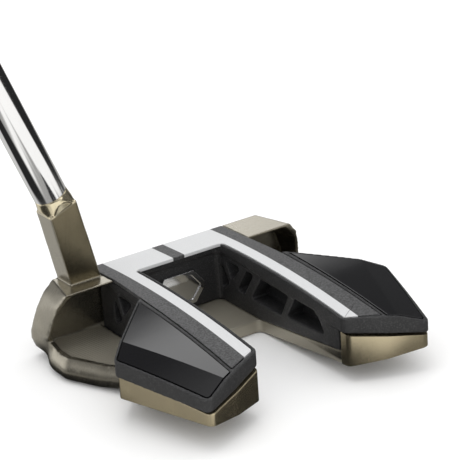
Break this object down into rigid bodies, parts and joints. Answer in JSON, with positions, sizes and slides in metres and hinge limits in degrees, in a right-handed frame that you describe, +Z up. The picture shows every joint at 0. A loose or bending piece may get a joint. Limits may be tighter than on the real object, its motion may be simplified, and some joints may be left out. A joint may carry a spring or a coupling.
{
  "type": "mallet putter",
  "caption": "Winged mallet golf putter: milled bronze-toned chassis, black lattice core, white sighting crown, chrome stepped shaft and rubber pistol grip.",
  "frame": {"origin": "middle of the flat part of the sole, which rests on the ground", "axes": "-Y is where the face looks, +X runs from the middle towards the heel and the shaft, +Z is up"},
  "size_m": [0.3982, 0.0974, 0.8133],
  "materials": {
    "bronze": "satin bronze coating",
    "nylon": "matte sintered",
    "white": "satin paint",
    "gloss_black": "gloss",
    "chrome": "polished",
    "insert": "milled",
    "tape": "soft adhesive sheet",
    "steel": "satin",
    "gold": "satin pale gold coating",
    "rubber": "moulded matte"
  },
  "bodies": {
    "root": {"chassis": "bronze", "lattice_core": "nylon", "crown_plate": "white", "heel_wing_plate": "gloss_black", "toe_wing_plate": "gloss_black", "cavity_badge": "chrome", "face_insert": "insert", "insert_tape": "tape", "heel_front_core_screw": "steel", "toe_front_core_screw": "steel", "heel_rear_core_screw": "steel", "toe_rear_core_screw": "steel", "heel_sole_weight": "gold", "toe_sole_weight": "gold", "heel_rear_weight": "gold", "toe_rear_weight": "gold", "heel_rear_weight_screw": "steel", "toe_rear_weight_screw": "steel", "shaft": "chrome", "grip_tape": "tape", "grip": "rubber", "grip_cap": "rubber"}
  },
  "joints": []
}
